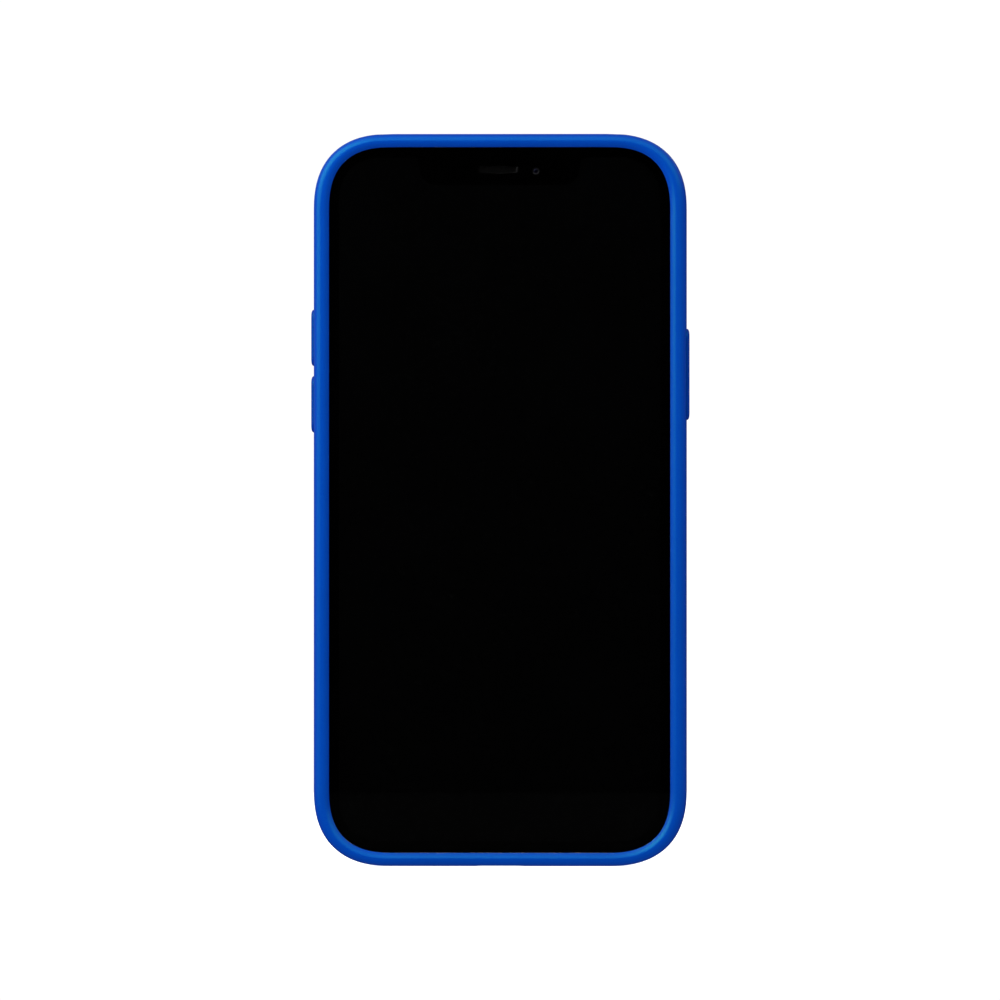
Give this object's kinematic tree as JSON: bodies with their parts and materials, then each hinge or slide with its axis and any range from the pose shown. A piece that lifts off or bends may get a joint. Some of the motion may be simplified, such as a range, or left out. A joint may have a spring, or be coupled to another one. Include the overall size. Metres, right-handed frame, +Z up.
{
  "type": "smartphone",
  "caption": "Large notched smartphone in a soft bright blue silicone case with a raised beaded lip, soft button covers and a back cut-out for a stacked camera island.",
  "frame": {"origin": "middle of the lower end: the case's lowest face, halfway across and halfway through the thickness", "axes": "+Z up along the phone towards the earpiece, +X to the right seen from the screen side, the screen faces -Y and the cameras face +Y"},
  "size_m": [0.0838, 0.0104, 0.162],
  "materials": {
    "case_silicone": "matte, soft-touch silicone",
    "case_lining": "short napped lining",
    "frame_metal": "satin",
    "antenna_plastic": "matte",
    "midplate_metal": "satin",
    "front_glass": "polished",
    "seal_rubber": "matte",
    "back_glass": "satin",
    "display": "gloss",
    "display_back": "satin",
    "ribbon": "satin",
    "mesh": "matte",
    "black_plastic": "satin",
    "camera_body": "satin",
    "steel": "satin",
    "lens_ring": "polished",
    "lens_cover": "polished",
    "gold": "satin",
    "flash_window": "gloss",
    "circuit_board": "satin",
    "chip": "matte",
    "battery_wrap": "matte",
    "white_tape": "matte",
    "copper": "satin",
    "ferrite": "matte",
    "diaphragm": "satin",
    "weight": "matte"
  },
  "bodies": {
    "phone": {"case_shell": "case_silicone", "case_lining": "case_lining", "frame_band": "frame_metal", "antenna_breaks": "antenna_plastic", "midplate": "midplate_metal", "front_glass": "front_glass", "display_seal": "seal_rubber", "back_glass": "back_glass", "display_panel": "display", "display_frame": "display_back", "display_flex": "ribbon", "earpiece_mesh": "mesh", "ring_switch_base": "black_plastic", "button_domes": "steel", "button_flex": "ribbon", "camera_island": "frame_metal", "lens_rings": "lens_ring", "lens_covers": "lens_cover", "wide_camera_housing": "camera_body", "ultrawide_camera": "camera_body", "tele_camera_housing": "camera_body", "camera_bracket": "steel", "flash_led": "gold", "flash_lens": "flash_window", "rear_microphone": "gold", "front_camera": "black_plastic", "depth_sensors": "black_plastic", "sensor_bracket": "steel", "earpiece_speaker": "black_plastic", "logic_board": "circuit_board", "board_chips": "chip", "board_shields": "steel", "connector_cover": "steel", "battery": "battery_wrap", "battery_flex": "ribbon", "battery_tabs": "white_tape", "internal_screws": "steel", "wireless_coil": "copper", "coil_shield": "ferrite", "charge_port": "steel", "charge_port_tongue": "black_plastic", "lower_flex": "ribbon", "bottom_screws": "steel", "loudspeaker_box": "black_plastic", "speaker_mesh": "mesh", "haptic_housing": "steel", "haptic_springs": "steel", "sim_tray": "frame_metal", "sim_reader": "steel"},
    "volume_up": {"volume_up_button": "frame_metal", "volume_up_cover": "case_silicone"},
    "volume_down": {"volume_down_button": "frame_metal", "volume_down_cover": "case_silicone"},
    "side_button": {"side_button": "frame_metal", "side_button_cover": "case_silicone"},
    "ring_switch": {"ring_switch_lever": "frame_metal"},
    "wide_lens": {"wide_lens_barrel": "black_plastic"},
    "tele_lens": {"tele_lens_barrel": "black_plastic"},
    "speaker_cone": {"speaker_diaphragm": "diaphragm"},
    "haptic_weight": {"haptic_mass": "weight"}
  },
  "joints": [
    {"name": "volume_up_press", "type": "slide", "parent": "phone", "child": "volume_up", "axis": [1, 0, 0], "range_m": [0, 0.00025], "stiffness_N_per_m": 6000},
    {"name": "volume_down_press", "type": "slide", "parent": "phone", "child": "volume_down", "axis": [1, 0, 0], "range_m": [0, 0.00025], "stiffness_N_per_m": 6000},
    {"name": "side_button_press", "type": "slide", "parent": "phone", "child": "side_button", "axis": [-1, 0, 0], "range_m": [0, 0.00025], "stiffness_N_per_m": 6000},
    {"name": "ring_switch_slide", "type": "slide", "parent": "phone", "child": "ring_switch", "axis": [0, 0, 1], "range_m": [0, 0.0014]},
    {"name": "wide_lens_focus", "type": "slide", "parent": "phone", "child": "wide_lens", "axis": [0, 1, 0], "range_m": [0, 0.0003], "stiffness_N_per_m": 300},
    {"name": "tele_lens_focus", "type": "slide", "parent": "phone", "child": "tele_lens", "axis": [0, 1, 0], "range_m": [0, 0.0003], "stiffness_N_per_m": 300},
    {"name": "speaker_cone_stroke", "type": "slide", "parent": "phone", "child": "speaker_cone", "axis": [0, -1, 0], "range_m": [-0.00025, 0.00025], "stiffness_N_per_m": 500},
    {"name": "haptic_weight_stroke", "type": "slide", "parent": "phone", "child": "haptic_weight", "axis": [1, 0, 0], "range_m": [-0.0005, 0.0005], "stiffness_N_per_m": 2200, "deforming": ["haptic_springs"]}
  ]
}
